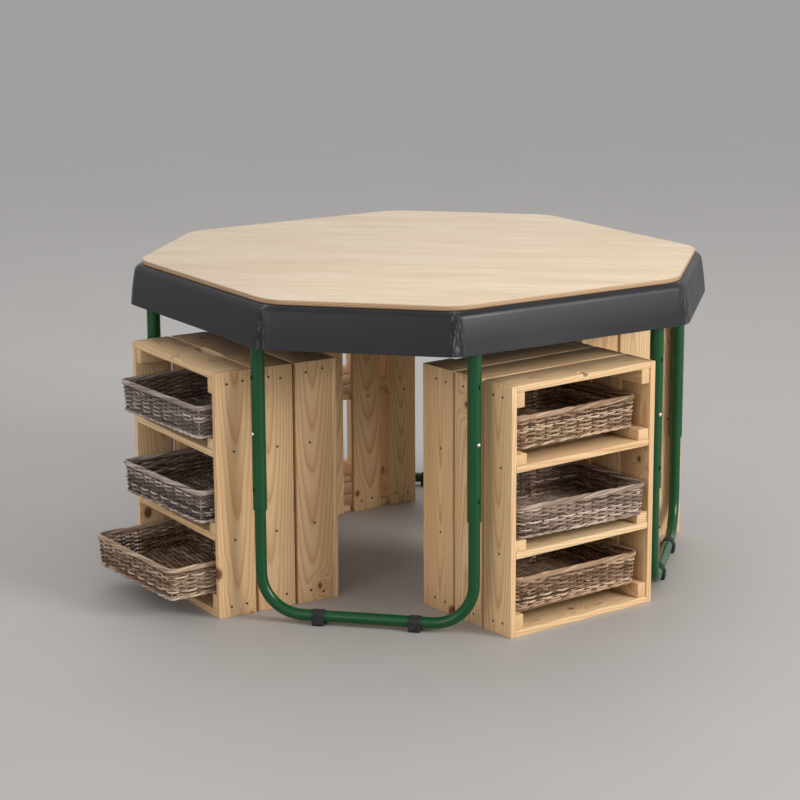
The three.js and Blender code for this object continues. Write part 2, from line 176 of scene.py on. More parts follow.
# --- building meshes
class Shape:
    """Points and faces gathered from many parts, with the grain coordinates and tone of each point."""

    def __init__(self):
        self.points, self.faces, self.grain, self.tone = [], [], [], []
        self.count = 0

    def add(self, points, faces, grain=None, tone=0.5):
        points = np.asarray(points, float)
        self.points.append(points)
        self.faces += [np.asarray(block) + self.count for block in faces]
        self.grain.append(points if grain is None else grain)
        self.tone.append(np.broadcast_to(tone, len(points)))
        self.count += len(points)

    def made(self, name, material, sharp=SHARP_ANGLE):
        mesh = bpy.data.meshes.new(name)
        faces = [face for block in self.faces for face in block.tolist()]
        mesh.from_pydata(np.concatenate(self.points).tolist(), [], faces)
        grain = mesh.attributes.new("grain", "FLOAT_VECTOR", "POINT")
        grain.data.foreach_set("vector", np.concatenate(self.grain).astype(np.float32).ravel())
        tone = mesh.attributes.new("tone", "FLOAT", "POINT")
        tone.data.foreach_set("value", np.concatenate(self.tone).astype(np.float32))
        mesh.materials.append(material)
        piece = bpy.data.objects.new(name, mesh)
        bpy.context.scene.collection.objects.link(piece)
        smoothed(piece, sharp)
        return piece


def smoothed(piece, sharp=SHARP_ANGLE):
    piece.data.update()
    piece.data.shade_smooth()
    piece.data.set_sharp_from_angle(angle=sharp)


def stands_for(piece, slot, *nodes):
    """The piece replaces CAD nodes and rides on their body; the slot is not used."""
    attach(piece, frame["nodes"][nodes[0]]["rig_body"])
    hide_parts(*nodes)


def cut_out(piece, cutter):
    """Takes the cutter's shape out of the piece, and removes the cutter."""
    modifier = piece.modifiers.new("cut", "BOOLEAN")
    modifier.operation = "DIFFERENCE"
    modifier.solver = "EXACT"
    modifier.object = cutter
    depsgraph = bpy.context.evaluated_depsgraph_get()
    made = bpy.data.meshes.new_from_object(piece.evaluated_get(depsgraph))
    piece.modifiers.clear()
    piece.data = made
    bpy.data.objects.remove(cutter)
    smoothed(piece)


def skin(rings, closed_path=False, caps=True):
    """Faces over rings of equal length: quads between the rings, and an outline at each end."""
    count, size = rings.shape[:2]
    at = np.arange(count * size).reshape(count, size)
    after = np.roll(at, -1, axis=0) if closed_path else at[1:]
    at_start = at if closed_path else at[:-1]
    quads = np.stack(
        [at_start, after, np.roll(after, -1, axis=1), np.roll(at_start, -1, axis=1)], axis=-1
    ).reshape(-1, 4)
    faces = [quads]
    if caps and not closed_path:
        faces += [at[:1], at[-1:, ::-1]]
    return rings.reshape(-1, 3), faces


def unit(vectors):
    return vectors / np.linalg.norm(vectors, axis=-1, keepdims=True)


def tube_rings(path, radius, sides, reference, closed=False):
    """Rings round a path, and the distance along the path. The reference is never along the path."""
    path = np.asarray(path, float)
    if closed:
        tangent = unit(np.roll(path, -1, axis=0) - np.roll(path, 1, axis=0))
    else:
        tangent = unit(np.gradient(path, axis=0))
    side = unit(np.cross(tangent, reference))
    over = np.cross(side, tangent)
    angle = 2 * math.pi * np.arange(sides) / sides
    radius = np.broadcast_to(radius, len(path))[:, None, None]
    around = np.cos(angle)[None, :, None] * side[:, None] + np.sin(angle)[None, :, None] * over[:, None]
    steps = np.linalg.norm(np.diff(path, axis=0), axis=1)
    return path[:, None] + radius * around, np.concatenate([[0], np.cumsum(steps)])


def add_rod(shape, path, radius, sides, reference, tone, closed=False):
    """A willow rod. Its grain runs along it, from a random start."""
    rings, along = tube_rings(path, radius, sides, reference, closed)
    points, faces = skin(rings, closed)
    angle = np.tile(2 * math.pi * np.arange(sides) / sides, len(along))
    start = rng.uniform(0, 40)
    grain = np.column_stack(
        [np.repeat(along, sides) + start, np.cos(angle) * ROD_RADIUS, np.sin(angle) * ROD_RADIUS + start]
    )
    tone = np.repeat(np.broadcast_to(tone, len(along)), sides)
    shape.add(points, faces, grain, tone)


def add_lathe(shape, profile, centre, axis, sides=24):
    """A solid of revolution: profile rows are radius and distance along the axis from the centre."""
    axis = np.asarray(axis, float)
    side = unit(np.cross(axis, UP if abs(axis[2]) < 0.9 else np.array([1.0, 0, 0])))
    over = np.cross(axis, side)
    angle = 2 * math.pi * np.arange(sides) / sides
    around = np.cos(angle)[:, None] * side + np.sin(angle)[:, None] * over
    rings = np.array([centre + axis * z + r * around for r, z in profile])
    points, faces = skin(rings)
    shape.add(points, [block[:, ::-1] for block in faces])


def rounded_path(corners, trims, steps=6):
    """A polyline whose corners are replaced by curves that start and end a trim away from them."""
    corners = np.asarray(corners, float)
    made = [corners[:1]]
    for before, corner, after, trim in zip(corners, corners[1:], corners[2:], trims):
        start = corner + unit(before - corner) * trim
        end = corner + unit(after - corner) * trim
        t = np.linspace(0, 1, steps + 1)[:, None]
        made.append((1 - t) ** 2 * start + 2 * t * (1 - t) * corner + t**2 * end)
    return np.concatenate([*made, corners[-1:]])


# --- materials
class Graph:
    """A material's node tree, with one short method for each kind of node that the materials use."""

    def __init__(self, name, **shader):
        self.material = bpy.data.materials.new(name)
        self.material.use_nodes = True
        self.tree = self.material.node_tree
        self.shader = self.tree.nodes["Principled BSDF"]
        for socket, value in shader.items():
            self.set(self.shader, socket.replace("_", " "), value)

    def set(self, node, socket, value):
        if isinstance(value, bpy.types.NodeSocket):
            self.tree.links.new(value, node.inputs[socket])
        else:
            node.inputs[socket].default_value = value

    def node(self, kind, sockets, **settings):
        node = self.tree.nodes.new("ShaderNode" + kind)
        for name, value in settings.items():
            setattr(node, name, value)
        for socket, value in sockets.items():
            self.set(node, socket, value)
        return node

    def math(self, operation, a, b=0.0, clamp=False):
        return self.node("Math", {0: a, 1: b}, operation=operation, use_clamp=clamp).outputs[0]

    def attribute(self, name, output="Fac"):
        return self.node("Attribute", {}, attribute_name=name).outputs[output]

    def place(self):
        return self.node("TexCoord", {}).outputs["Object"]

    def scaled(self, vector, factors):
        return self.node("VectorMath", {0: vector, 1: factors}, operation="MULTIPLY").outputs[0]

    def noise(self, vector, scale=1.0, detail=2.0, roughness=0.5):
        sockets = {"Vector": vector, "Scale": scale, "Detail": detail, "Roughness": roughness}
        return self.node("TexNoise", sockets).outputs[0]

    def split(self, vector):
        return self.node("SeparateXYZ", {0: vector}).outputs

    def joined(self, x, y, z=0.0):
        return self.node("CombineXYZ", {0: x, 1: y, 2: z}).outputs[0]

    def span(self, value, low, high, to_low=0.0, to_high=1.0):
        sockets = {"Value": value, "From Min": low, "From Max": high, "To Min": to_low, "To Max": to_high}
        return self.node("MapRange", sockets).outputs[0]

    def mix(self, factor, a, b, blend="MIX"):
        made = self.node("Mix", {}, data_type="RGBA", blend_type=blend)
        for index, value in ((0, factor), (6, a), (7, b)):
            self.set(made, index, value)
        return made.outputs[2]

    def ramp(self, value, *stops):
        made = self.node("ValToRGB", {0: value})
        elements = made.color_ramp.elements
        while len(elements) < len(stops):
            elements.new(0.5)
        for element, (position, colour) in zip(elements, stops):
            element.position = position
            element.color = colour
        return made.outputs[0]

    def bump(self, height, distance, strength=1.0, normal=None):
        sockets = {"Height": height, "Distance": distance, "Strength": strength}
        if normal is not None:
            sockets["Normal"] = normal
        return self.node("Bump", sockets).outputs[0]

    def finish(self, **shader):
        for socket, value in shader.items():
            self.set(self.shader, socket.replace("_", " "), value)
        return self.material


def rgb(r, g=None, b=None):
    """A colour, or a grey when only one number is given."""
    return (r, r, r, 1.0) if g is None else (r, g, b, 1.0)


def pine_material():
    """Pine. The grain attribute is metres from the log's heart: x along the log, y and z across it."""
    g = Graph("pine", Specular_IOR_Level=0.35)
    grain = g.attribute("grain", "Vector")
    tone = g.attribute("tone")
    x, y, z = g.split(grain)
    wander = g.noise(g.scaled(grain, (2.6, 14.0, 14.0)), 1.0, 2.0)
    flat = g.joined(g.math("MULTIPLY", x, 0.75), y)
    cells = g.node("TexVoronoi", {"Vector": flat, "Scale": 6.2}, voronoi_dimensions="2D")
    away = g.math("DIVIDE", cells.outputs["Distance"], 6.2)
    pick, pick_size, _ = g.split(cells.outputs["Color"])
    is_knot = g.math("GREATER_THAN", pick, 0.52)
    knot_size = g.span(pick_size, 0.0, 1.0, 0.003, 0.0085)
    pull = g.math("MULTIPLY", is_knot, g.span(away, 0.0, 0.034, 1.0, 0.0))
    pull = g.math("MULTIPLY", g.math("POWER", pull, 2.2), 0.020)
    heart = g.math("SQRT", g.math("ADD", g.math("MULTIPLY", y, y), g.math("MULTIPLY", z, z)))
    heart = g.math("ADD", heart, g.math("ADD", pull, g.math("MULTIPLY", wander, 0.011)))
    ring = g.math("FRACT", g.math("DIVIDE", heart, 0.0043))
    late = g.ramp(
        ring,
        (0.0, rgb(0.15)), (0.35, rgb(0.0)), (0.72, rgb(0.42)), (0.9, rgb(1.0)), (0.97, rgb(0.3)),
    )
    fibre = g.noise(g.scaled(grain, (9.0, 620.0, 620.0)), 1.0, 3.0, 0.6)
    patch = g.noise(g.scaled(grain, (5.0, 22.0, 22.0)), 1.0, 2.0)
    early = g.mix(tone, rgb(0.90, 0.67, 0.39), rgb(0.77, 0.48, 0.24))
    dark = g.mix(tone, rgb(0.56, 0.30, 0.115), rgb(0.43, 0.19, 0.07))
    wood = g.mix(g.math("MULTIPLY", late, 0.78), early, dark)
    wood = g.mix(g.span(patch, 0.35, 0.75, 0.0, 0.35), wood, rgb(0.60, 0.36, 0.17))
    wood = g.mix(g.span(fibre, 0.3, 0.7, 0.0, 0.30), wood, rgb(0.48, 0.29, 0.14))
    rim = g.math("MULTIPLY", is_knot, g.span(g.math("SUBTRACT", away, knot_size), 0.0, 0.0045, 0.75, 0.0))
    wood = g.mix(rim, wood, rgb(0.33, 0.15, 0.06))
    inside = g.span(g.math("SUBTRACT", away, knot_size), -0.0007, 0.0004, 1.0, 0.0)
    clot = g.noise(g.scaled(grain, (160.0, 160.0, 160.0)))
    core = g.mix(clot, rgb(0.10, 0.045, 0.02), rgb(0.26, 0.11, 0.045))
    wood = g.mix(g.math("MULTIPLY", is_knot, inside), wood, core)
    height = g.math("ADD", g.math("MULTIPLY", late, 0.35), fibre)
    rough = g.span(fibre, 0.2, 0.8, 0.50, 0.70)
    return g.finish(Base_Color=wood, Roughness=rough, Normal=g.bump(height, 0.00025, 0.6))


def plywood_material(top):
    """Birch plywood: pale face veneer, and layers across the edge that alternate end grain and long grain."""
    g = Graph("plywood", Specular_IOR_Level=0.4)
    place = g.place()
    x, y, z = g.split(place)
    along = g.math("ADD", g.math("MULTIPLY", x, 0.766), g.math("MULTIPLY", y, -0.643))
    across = g.math("ADD", g.math("MULTIPLY", x, 0.643), g.math("MULTIPLY", y, 0.766))
    flat = g.joined(along, across)
    figure = g.noise(g.scaled(flat, (1.7, 13.0, 1.0)), 1.0, 4.0, 0.6)
    streak = g.noise(g.scaled(flat, (6.0, 95.0, 1.0)), 1.0, 4.0, 0.65)
    pore = g.noise(g.scaled(flat, (60.0, 900.0, 1.0)), 1.0, 2.0, 0.6)
    face = g.ramp(
        figure,
        (0.30, rgb(0.67, 0.51, 0.33)), (0.5, rgb(0.75, 0.60, 0.42)), (0.7, rgb(0.80, 0.67, 0.50)),
    )
    face = g.mix(g.span(streak, 0.35, 0.75, 0.0, 0.60), face, rgb(0.58, 0.40, 0.23))
    face = g.mix(g.span(pore, 0.55, 0.8, 0.0, 0.5), face, rgb(0.45, 0.30, 0.17))
    fleck = g.noise(g.scaled(flat, (14.0, 120.0, 1.0)), 1.0, 1.0)
    face = g.mix(g.span(fleck, 0.72, 0.80, 0.0, 0.35), face, rgb(0.42, 0.27, 0.14))
    low, high = top[0].z, top[1].z
    layer = g.math("MULTIPLY", g.span(z, low, high), float(PLY_COUNT))
    end_grain = g.math("GREATER_THAN", g.math("PINGPONG", layer, 1.0), 0.5)
    glue = g.span(g.math("PINGPONG", layer, 0.5), 0.0, 0.09, 0.85, 0.0)
    run = g.math("ADD", x, y)
    hatch = g.noise(g.joined(g.math("MULTIPLY", run, 260.0), g.math("MULTIPLY", layer, 1.3)), 1.0, 3.0)
    core = g.mix(end_grain, rgb(0.66, 0.46, 0.27), rgb(0.40, 0.235, 0.115))
    core = g.mix(g.span(hatch, 0.35, 0.7, 0.0, 0.45), core, rgb(0.30, 0.165, 0.08))
    core = g.mix(glue, core, rgb(0.17, 0.09, 0.045))
    facing = g.math("ABSOLUTE", g.split(g.node("NewGeometry", {}).outputs["True Normal"])[2])
    wood = g.mix(g.span(facing, 0.35, 0.6), core, face)
    height = g.math("ADD", streak, g.math("MULTIPLY", pore, 0.4))
    rough = g.span(streak, 0.2, 0.8, 0.42, 0.55)
    return g.finish(Base_Color=wood, Roughness=rough, Normal=g.bump(height, 0.00012, 0.5))


def plastic_material():
    """Satin charcoal moulding. The tone attribute is 1 at its corners and shoulder, where it is scuffed and
    where a paler painted highlight is laid in with the scuffs.
    """
    g = Graph("tray_plastic", Specular_IOR_Level=0.3)
    place = g.place()
    worn_and_lit_corners = g.attribute("tone")
    grainy = g.noise(place, 900.0, 2.0)
    cloud = g.noise(g.scaled(place, (7.0, 7.0, 16.0)), 1.0, 3.0)
    rubbed = g.noise(g.scaled(place, (230.0, 230.0, 26.0)), 1.0, 4.0, 0.7)
    scratch = g.noise(g.scaled(place, (70.0, 70.0, 640.0)), 1.0, 3.0, 0.6)
    # Paler grey at the corners: partly real scuffs, partly a painted highlight where the corners catch the
    # light.
    scuff_and_highlight = g.math("MULTIPLY", g.span(rubbed, 0.5, 0.68), worn_and_lit_corners)
    fine = g.math("MULTIPLY", g.span(scratch, 0.62, 0.74), g.span(cloud, 0.45, 0.62, 0.0, 0.5))
    base = g.mix(cloud, rgb(0.009, 0.0085, 0.010), rgb(0.022, 0.0205, 0.024))
    base = g.mix(g.math("MULTIPLY", fine, 0.5), base, rgb(0.075, 0.075, 0.08))
    base = g.mix(g.math("MULTIPLY", scuff_and_highlight, 0.8), base, rgb(0.24, 0.24, 0.25))
    rough = g.span(cloud, 0.3, 0.7, 0.34, 0.44)
    rough = g.math("ADD", rough, g.math("MULTIPLY", scuff_and_highlight, 0.18), clamp=True)
    height = g.math("ADD", g.math("MULTIPLY", grainy, 0.5), g.math("MULTIPLY", cloud, 3.0))
    return g.finish(Base_Color=base, Roughness=rough, Normal=g.bump(height, 0.0003, 0.35))


def enamel_material():
    """Gloss green powder coat, with its slight orange peel and a few dull rubbed places."""
    g = Graph("green_enamel", Specular_IOR_Level=0.3, Coat_Weight=0.12, Coat_Roughness=0.12)
    place = g.place()
    peel = g.noise(place, 320.0, 1.0)
    cloud = g.noise(place, 14.0, 3.0)
    rub = g.noise(g.scaled(place, (160.0, 160.0, 30.0)), 1.0, 4.0, 0.7)
    base = g.mix(cloud, rgb(0.003, 0.055, 0.015), rgb(0.006, 0.080, 0.023))
    base = g.mix(g.span(rub, 0.68, 0.8, 0.0, 0.2), base, rgb(0.02, 0.10, 0.045))
    rough = g.span(rub, 0.45, 0.8, 0.24, 0.42)
    return g.finish(Base_Color=base, Roughness=rough, Normal=g.bump(peel, 0.00005, 0.25))


def rubber_material():
    g = Graph("rubber", Specular_IOR_Level=0.35)
    place = g.place()
    dust = g.noise(place, 130.0, 4.0, 0.7)
    base = g.mix(g.span(dust, 0.45, 0.8), rgb(0.014, 0.014, 0.015), rgb(0.06, 0.057, 0.054))
    rough = g.span(dust, 0.3, 0.7, 0.62, 0.85)
    return g.finish(Base_Color=base, Roughness=rough, Normal=g.bump(dust, 0.0002, 0.5))


def metal_material(name, metallic, scale, colours, rough, relief, strength):
    """Speckled metal: two colours, two roughnesses and a slight relief that follow one fine noise."""
    g = Graph(name, Metallic=metallic)
    speck = g.noise(g.place(), scale, 3.0)
    base = g.mix(speck, *colours)
    shine = g.span(speck, 0.3, 0.7, *rough)
    return g.finish(Base_Color=base, Roughness=shine, Normal=g.bump(speck, relief, strength))


def willow_material(name, weathered):
    """Dry willow rods. The tone attribute sets how pale each rod is, and bark flecks run along the rods."""
    g = Graph("willow_" + name, Specular_IOR_Level=0.3)
    grain = g.attribute("grain", "Vector")
    tone = g.attribute("tone")
    streak = g.noise(g.scaled(grain, (34.0, 620.0, 620.0)), 1.0, 3.0, 0.6)
    bark = g.noise(g.scaled(grain, (16.0, 190.0, 190.0)), 1.0, 3.0, 0.6)
    tan = [
        (0.0, (0.075, 0.038, 0.019)), (0.35, (0.20, 0.11, 0.056)),
        (0.7, (0.42, 0.26, 0.145)), (1.0, (0.66, 0.47, 0.30)),
    ]
    grey = [
        (0.0, (0.050, 0.037, 0.033)), (0.35, (0.165, 0.128, 0.112)),
        (0.7, (0.39, 0.32, 0.285)), (1.0, (0.66, 0.575, 0.52)),
    ]
    stops = [
        (at, rgb(*(a + (b - a) * weathered for a, b in zip(brown, silver))))
        for (at, brown), (_, silver) in zip(tan, grey)
    ]
    shade = g.math("ADD", tone, g.span(streak, 0.2, 0.8, -0.16, 0.16), clamp=True)
    base = g.ramp(shade, *stops)
    base = g.mix(g.span(bark, 0.58, 0.70, 0.0, 0.55), base, stops[0][1])
    rough = g.span(streak, 0.3, 0.7, 0.58, 0.80)
    height = g.math("ADD", streak, bark)
    return g.finish(Base_Color=base, Roughness=rough, Normal=g.bump(height, 0.0003, 0.6))


PLYWOOD = plywood_material(TOP_BOX)
PLASTIC = plastic_material()
ENAMEL = enamel_material()
RUBBER = rubber_material()
ZINC_COLOURS = rgb(0.62, 0.62, 0.63), rgb(0.82, 0.82, 0.81)
ZINC = metal_material("zinc_steel", 1.0, 900.0, ZINC_COLOURS, (0.22, 0.38), 0.00005, 0.3)
NAIL_COLOURS = rgb(0.035, 0.028, 0.024), rgb(0.14, 0.085, 0.05)
NAIL = metal_material("nail_steel", 0.7, 700.0, NAIL_COLOURS, (0.45, 0.7), 0.0001, 0.5)
PINE = pine_material()


# --- top and tray


def octagon(offset, radius):
    """Outline of the eight-sided top, moved out by an offset, and how far round a corner each point is."""
    points, bend = [], []
    half_turn = math.radians(22.5)
    steps = np.linspace(0, 1, CORNER_STEPS + 1)
    for corner in range(8):
        start = math.radians(45 * corner)
        near, far = (LONG_SIDE, SHORT_SIDE) if corner % 2 == 0 else (SHORT_SIDE, LONG_SIDE)
        along = (far + offset - (near + offset) * math.sqrt(0.5)) * math.sqrt(2)
        tip = turned([near + offset, along, 0], 45 * corner)[:2]
        middle = start + half_turn
        centre = tip - np.array([math.cos(middle), math.sin(middle)]) * radius / math.cos(half_turn)
        for step in steps:
            angle = start + 2 * half_turn * step
            points.append(centre + radius * np.array([math.cos(angle), math.sin(angle)]))
            bend.append(math.sin(math.pi * step))
    return np.array(points), np.array(bend)


def loft(section, corner_radius):
    """Rings of the octagon, one for each offset and height of the section."""
    rings, bends = [], []
    for offset, z in section:
        outline, bend = octagon(offset, corner_radius(offset))
        rings.append(np.column_stack([outline + MIDDLE[:2], np.full(len(outline), z)]))
        bends.append(bend)
    points, faces = skin(np.array(rings)[:, ::-1])
    return points, faces, np.concatenate([bend[::-1] for bend in bends])


def plywood_sheet():
    low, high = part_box("plywood_top")
    edge = TOP_EDGE_RADIUS
    section = [
        (-edge, low.z), (-edge * 0.3, low.z + edge * 0.3), (0, low.z + edge),
        (0, high.z - edge), (-edge * 0.3, high.z - edge * 0.3), (-edge, high.z),
    ]
    shape = Shape()
    points, faces, _ = loft(section, lambda offset: TOP_CORNER_RADIUS + offset)
    shape.add(points, faces)
    stands_for(shape.made("plywood_sheet", PLYWOOD, math.radians(50)), "plywood", "plywood_top")


def tray_shell():
    low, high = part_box("mixing_tray_rim")
    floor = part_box("mixing_tray_basin")[0].z + TRAY_WALL
    skirt_out = high.x - MIDDLE[0] - LONG_SIDE
    shoulder = high.z - SHOULDER_DROP
    inner = -RIM_WIDTH
    floor_edge = inner - BASIN_SLOPE
    mid_out = (SHOULDER_OUT + skirt_out) / 2 + SKIRT_BULGE
    mid_z = (shoulder + low.z) / 2
    wall = TRAY_WALL
    under = rounded_path(
        [
            (floor_edge - 0.03, floor - wall), (floor_edge + wall, floor - wall),
            (inner + wall, high.z - wall), (SHOULDER_OUT - 2 * wall, high.z - wall),
            (SHOULDER_OUT - wall / 2, shoulder - wall), (mid_out - wall, mid_z), (skirt_out - wall, low.z),
        ],
        [0.008, 0.004, 0.003, 0.005, 0.016],
    )
    over = rounded_path(
        [
            (skirt_out, low.z), (mid_out, mid_z), (SHOULDER_OUT + 0.0008, shoulder), (0.003, high.z),
            (inner, high.z), (floor_edge, floor), (floor_edge - 0.03, floor),
        ],
        [0.016, 0.0062, 0.0040, 0.006, 0.010],
    )
    lip = np.array([(skirt_out - wall * 0.3, low.z - 0.0003)])
    points, faces, bend = loft(
        np.concatenate([under, lip, over]),
        lambda offset: max(TRAY_CORNER_RADIUS + offset, BASIN_CORNER_RADIUS),
    )
    shape = Shape()
    # The tone is 1 at the corners, where the moulding gets its scuffs and its painted highlight.
    shape.add(points, faces, tone=bend**3)
    tray = shape.made("tray_shell", PLASTIC, math.radians(60))
    stands_for(tray, "tray_plastic", "mixing_tray_rim", "mixing_tray_basin")


# --- stand
def u_path(half_spread, bar_z, end_z, bend):
    """Centre line of a U in the plane y = 0."""
    side = math.copysign(1, end_z - bar_z)
    leg = np.linspace(end_z, bar_z + side * bend, 24)
    angle = np.linspace(0, math.pi / 2, BEND_STEPS + 1)[1:]
    left = [(-half_spread, z) for z in leg]
    left += [
        (-half_spread + bend * (1 - math.cos(a)), bar_z + side * bend * (1 - math.sin(a))) for a in angle
    ]
    right = [(-x, z) for x, z in left[::-1]]
    return np.array([(x, 0, z) for x, z in left + right])


def hollow_tube(path, outer, inner):
    """A tube wall with open ends, along a path in the plane y = 0."""
    reference = np.array([0.0, 1.0, 0.0])
    outside = tube_rings(path, outer, TUBE_SIDES, reference)[0]
    inside = tube_rings(path, inner, TUBE_SIDES, reference)[0]
    points, faces = skin(outside, caps=False)
    inner_points, inner_faces = skin(inside, caps=False)
    count = len(points)
    ring = np.arange(TUBE_SIDES)
    after = np.roll(ring, -1)
    last = count - TUBE_SIDES
    start = np.stack([ring, after, after + count, ring + count], axis=-1)
    end = np.stack([ring, ring + count, after + count, after], axis=-1) + last
    faces += [inner_faces[0][:, ::-1] + count, start, end]
    return np.concatenate([points, inner_points]), faces


def drills(places):
    """One object made of short rods, for places given as a point and an outward direction."""
    shape = Shape()
    for point, outward in places:
        path = np.array([point + outward * d for d in (LOWER_BORE / 2, 2 * UPPER_RADIUS)])
        points, faces = skin(tube_rings(path, HOLE_RADIUS, 20, UP)[0])
        shape.add(points, faces)
    return shape.made("drills", ENAMEL)


def leg_places(side):
    """Where the two button pins of a long side stand: the leg's axis at pin height, and the way out."""
    outward = turned([0, -1, 0], LONG_SIDES[side])
    made = {}
    for hand in HANDS:
        low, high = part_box(f"snap_button_{side}_{hand}")
        middle = np.array((low + high) / 2)
        tip = extent(outward, f"snap_button_{side}_{hand}")[1]
        point = middle + outward * (tip - PIN_TIP - middle @ outward)
        point[2] = high.z - FLANGE_RADIUS
        made[hand] = point
    return made, outward


def build_upper_tubes():
    for side, degrees in LONG_SIDES.items():
        node = f"upper_frame_{side}"
        low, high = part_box(node)
        places, outward = leg_places(side)
        spread = np.linalg.norm(places["right"] - places["left"]) / 2
        middle = (places["right"] + places["left"]) / 2 * FLAT
        path = u_path(spread, high.z - UPPER_RADIUS, low.z, UPPER_BEND)
        points, faces = hollow_tube(path, UPPER_RADIUS, UPPER_BORE)
        shape = Shape()
        shape.add(turned(points, degrees) + middle, faces)
        tube = shape.made(f"{node}_tube", ENAMEL)
        holes = [
            (places[hand] + UP * HOLE_PITCH * step, outward) for hand in HANDS for step in (-1, 0, 1)
        ]
        cut_out(tube, drills(holes))
        stands_for(tube, "green_tube", node)


def build_lower_tubes():
    along = {side: leg_places(side) for side in LONG_SIDES}
    for corner, degrees in SHORT_SIDES.items():
        node = f"lower_frame_{corner}"
        low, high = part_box(node)
        outward = turned(-DIAGONAL, degrees)
        holes = [
            (point, out)
            for places, out in along.values()
            for point in places.values()
            if (point - MIDDLE) @ outward > 0.4
        ]
        middle = sum(point for point, _ in holes) / 2 * FLAT
        spread = np.linalg.norm(holes[0][0] - holes[1][0]) / 2
        path = u_path(spread, low.z + LOWER_RADIUS, high.z, LOWER_BEND)
        points, faces = hollow_tube(path, LOWER_RADIUS, LOWER_BORE)
        shape = Shape()
        shape.add(turned(points, degrees - 45) + middle, faces)
        tube = shape.made(f"{node}_tube", ENAMEL)
        cut_out(tube, drills(holes))
        stands_for(tube, "green_tube", node)


def build_buttons():
    """A domed pin with a flange, on a bent leaf whose two arms press against the bore."""
    for side in LONG_SIDES:
        places, outward = leg_places(side)
        across = np.cross(UP, outward)
        for hand, point in places.items():
            shape = Shape()
            dome = [
                (PIN_RADIUS * math.cos(a), PIN_TIP - PIN_DOME * (1 - math.sin(a)))
                for a in np.linspace(0, math.pi / 2 * 0.96, 7)
            ]
            profile = [
                (FLANGE_RADIUS, FLANGE_FACE - LEAF_THICKNESS), (FLANGE_RADIUS, FLANGE_FACE),
                (PIN_RADIUS, FLANGE_FACE), *dome,
            ]
            add_lathe(shape, profile, point, outward)
            front = FLANGE_FACE - LEAF_THICKNESS / 2
            bend = (front + LEAF_TAIL) / 2
            line = rounded_path(
                [(front, FLANGE_RADIUS), (front, -LEAF_LENGTH / 3), (bend, -LEAF_LENGTH),
                 (LEAF_TAIL, -LEAF_LENGTH / 3)],
                [0.004, 0.003],
            )
            middle = np.array([point + outward * out + UP * z for out, z in line])
            tangent = unit(np.gradient(middle, axis=0))
            thick = np.cross(tangent, across) * LEAF_THICKNESS / 2
            wide = across * LEAF_WIDTH / 2
            rings = np.stack([middle + thick + wide, middle - thick + wide,
                              middle - thick - wide, middle + thick - wide], axis=1)
            shape.add(*skin(rings))
            piece = shape.made(f"snap_button_{side}_{hand}_pin", ZINC)
            stands_for(piece, "button_steel", f"snap_button_{side}_{hand}")


def add_band(shape, along, start, end, centre):
    """The clip that holds a saddle: a thin sleeve right round the floor bar."""
    inner, outer = LOWER_RADIUS + GAP, LOWER_RADIUS + GAP + BAND_THICKNESS
    edge = BAND_THICKNESS / 3
    section = [
        (inner, start), (outer - edge, start), (outer, start + edge),
        (outer, end - edge), (outer - edge, end), (inner, end),
    ]
    side = np.cross(along, UP)
    angle = 2 * math.pi * np.arange(TUBE_SIDES) / TUBE_SIDES
    around = np.cos(angle)[:, None] * side + np.sin(angle)[:, None] * UP
    rings = np.array([centre + along * at + radius * around for radius, at in section])
    points, faces = skin(np.concatenate([rings, rings[:1]]), caps=False)
    shape.add(points, [block[:, ::-1] for block in faces])


def build_feet():
    """Rubber saddles: a flat sole, rounded sides and a round bed that hugs the floor bar."""
    for corner, degrees in SHORT_SIDES.items():
        outward = turned(-DIAGONAL, degrees)
        along = turned(outward, 90)
        bar_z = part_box(f"lower_frame_{corner}")[0].z + LOWER_RADIUS
        for hand in HANDS:
            node = f"rubber_foot_{corner}_{hand}"
            low_out, high_out = extent(outward, node)
            start, end = extent(along, node)
            half = (high_out - low_out) / 2
            sole = rounded_path(
                [(-half, bar_z), (-half, 0.002), (-half + 0.003, 0), (half - 0.003, 0),
                 (half, 0.002), (half, bar_z)],
                [0.002, 0.0025, 0.0025, 0.002],
            )
            hug = LOWER_RADIUS + GAP
            bed = [(hug * math.cos(a), bar_z - hug * math.sin(a)) for a in np.linspace(0, math.pi, 17)]
            outline = np.array([*sole, *bed])
            centre = np.array([0, bar_z / 2])
            shrunk = centre + (outline - centre) * (1 - SADDLE_EDGE / half)
            shrunk[len(sole):] = outline[len(sole):]
            stations = [
                (start, shrunk), (start + SADDLE_EDGE, outline), (end - SADDLE_EDGE, outline), (end, shrunk)
            ]
            middle = (low_out + high_out) / 2
            rings = np.array([
                [along * at + outward * (middle + across) + UP * z for across, z in ring]
                for at, ring in stations
            ])
            shape = Shape()
            points, faces = skin(rings)
            shape.add(points, [block[:, ::-1] for block in faces])
            add_band(shape, along, start, end, outward * middle + UP * bar_z)
            stands_for(shape.made(f"{node}_saddle", RUBBER), "rubber", node)


